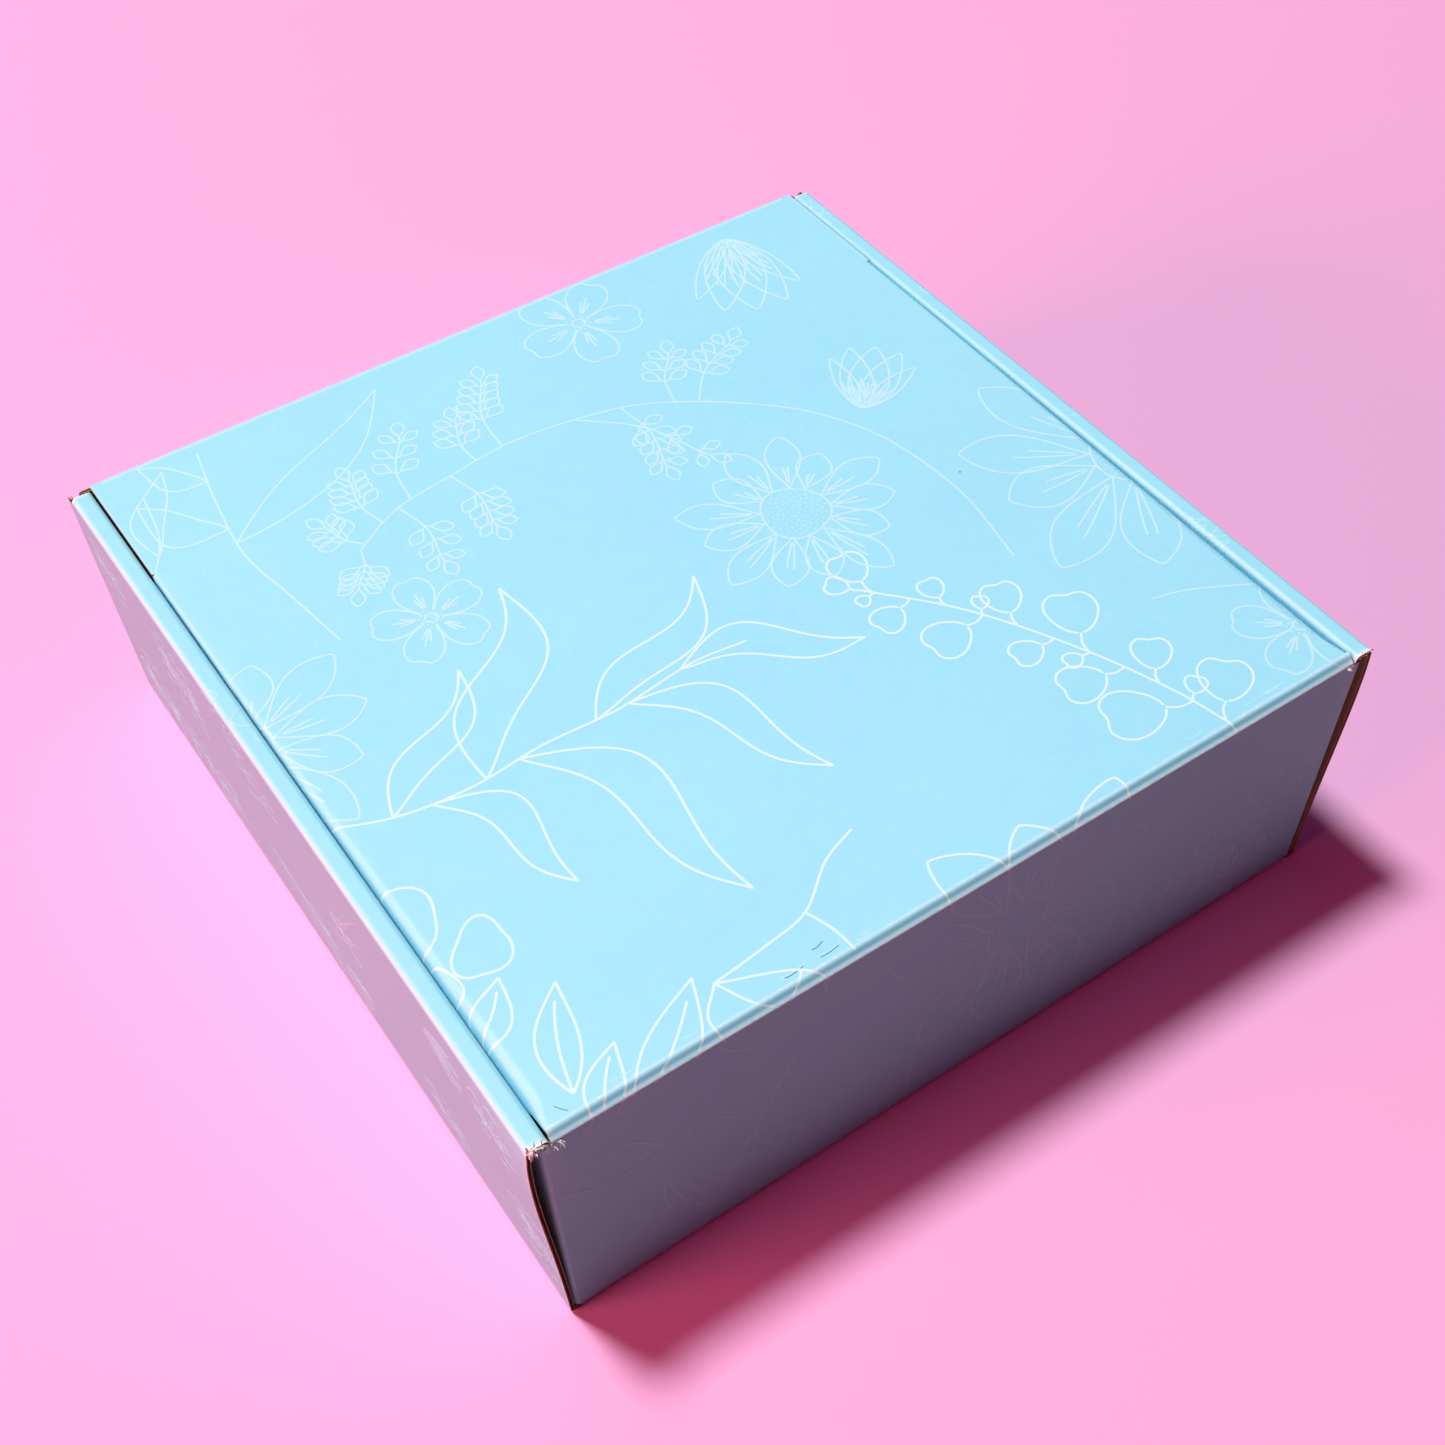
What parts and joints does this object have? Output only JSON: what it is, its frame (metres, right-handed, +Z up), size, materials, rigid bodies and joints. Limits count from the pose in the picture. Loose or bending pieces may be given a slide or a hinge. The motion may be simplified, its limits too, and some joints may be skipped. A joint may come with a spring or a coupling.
{
  "type": "flower box",
  "caption": "Square folding mailer box of thin corrugated board with a hinged tuck-in lid, rolled double side walls and a printed floral line pattern.",
  "frame": {"origin": "middle of the underside, on the surface that the box stands on", "axes": "+Z up, -Y towards the front where the lid tucks in, +Y towards the hinged back wall, X along the hinge"},
  "size_m": [0.305, 0.302, 0.101],
  "materials": {
    "lid_board": "satin light blue print with white floral line art",
    "hinge_board": "satin light blue print, creased",
    "wall_board": "satin light blue print with white floral line art",
    "rolled_top_board": "satin light blue print, creased",
    "flap_board": "satin light blue print",
    "inner_board": "unprinted brown kraft liner"
  },
  "bodies": {
    "tray": {"base_panel": "inner_board", "front_wall": "wall_board", "back_wall": "wall_board", "side_outer_left": "wall_board", "side_outer_right": "wall_board", "side_top_left": "rolled_top_board", "side_top_right": "rolled_top_board", "side_inner_left": "inner_board", "side_inner_right": "inner_board", "front_corner_flap_left": "flap_board", "front_corner_flap_right": "flap_board", "back_corner_flap_left": "flap_board", "back_corner_flap_right": "flap_board"},
    "hinge": {"hinge_spine": "hinge_board"},
    "lid": {"lid_panel": "lid_board"},
    "tuck": {"tuck_flap": "flap_board"},
    "dust_left": {"dust_flap_left": "flap_board"},
    "dust_right": {"dust_flap_right": "flap_board"}
  },
  "joints": [
    {"name": "lid_hinge", "type": "hinge", "parent": "tray", "child": "hinge", "pos_m": [0, 0.151, 0.0986], "axis": [-1, 0, 0], "range_deg": [0, 90]},
    {"name": "lid_crease", "type": "hinge", "parent": "hinge", "child": "lid", "pos_m": [0, 0.1486, 0.101], "axis": [-1, 0, 0], "range_deg": [0, 90]},
    {"name": "tuck_crease", "type": "hinge", "parent": "lid", "child": "tuck", "pos_m": [0, -0.1473, 0.0992], "axis": [1, 0, 0], "range_deg": [0, 80]},
    {"name": "dust_crease_left", "type": "hinge", "parent": "lid", "child": "dust_left", "pos_m": [-0.1432, 0, 0.0992], "axis": [0, -1, 0], "range_deg": [0, 85]},
    {"name": "dust_crease_right", "type": "hinge", "parent": "lid", "child": "dust_right", "pos_m": [0.1432, 0, 0.0992], "axis": [0, 1, 0], "range_deg": [0, 85]}
  ],
  "couplings": [
    {"joint": "lid_crease", "follows": "lid_hinge", "ratio": 1}
  ]
}
